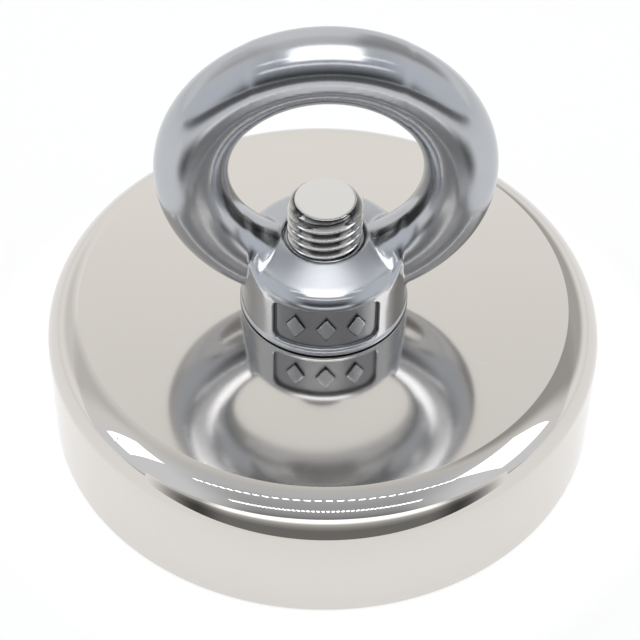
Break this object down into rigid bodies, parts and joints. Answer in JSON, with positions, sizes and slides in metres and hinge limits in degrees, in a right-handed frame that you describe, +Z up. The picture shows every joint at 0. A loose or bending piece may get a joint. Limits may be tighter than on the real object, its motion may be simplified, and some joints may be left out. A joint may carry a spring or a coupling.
{
  "type": "magnet fishing magnet",
  "caption": "Round pot magnet in a polished steel cup, with a countersunk screw through its centre and an eye nut on top for a retrieval rope.",
  "frame": {"origin": "centre of the magnet face, on the plane of the cup's open rim", "axes": "+Z up along the screw, towards the eye; the eye's hole faces -Y and +Y, and the panel on the eye nut faces -Y"},
  "size_m": [0.075, 0.075, 0.0649],
  "materials": {
    "nickel_plated_steel": "mirror polish, nickel plated",
    "nickel_plated_magnet": "satin nickel over sintered magnet",
    "bond_adhesive": "cured epoxy",
    "spacer_plastic": "moulded, matt",
    "seal_resin": "poured resin, satin",
    "sleeve_plastic": "moulded, matt",
    "screw_steel": "bright nickel plated, rolled thread",
    "cast_stainless": "cast, tumbled and polished"
  },
  "bodies": {
    "cup": {"steel_cup": "nickel_plated_steel", "ring_magnet": "nickel_plated_magnet", "magnet_bond": "bond_adhesive", "spacer_ring": "spacer_plastic", "rim_seal": "seal_resin", "bore_sleeve": "sleeve_plastic"},
    "screw": {"countersunk_screw": "screw_steel"},
    "eye": {"eye_nut": "cast_stainless"}
  },
  "joints": [
    {"name": "screw_turn", "type": "hinge", "parent": "cup", "child": "screw", "pos_m": [0, 0, 0.013], "axis": [0, 0, -1], "range_deg": [0, 4320]},
    {"name": "eye_nut_rise", "type": "slide", "parent": "cup", "child": "eye", "axis": [0, 0, 1], "range_m": [0, 0.018]}
  ],
  "couplings": [
    {"joint": "eye_nut_rise", "follows": "screw_turn", "m_per_rad": 0.00023873}
  ]
}
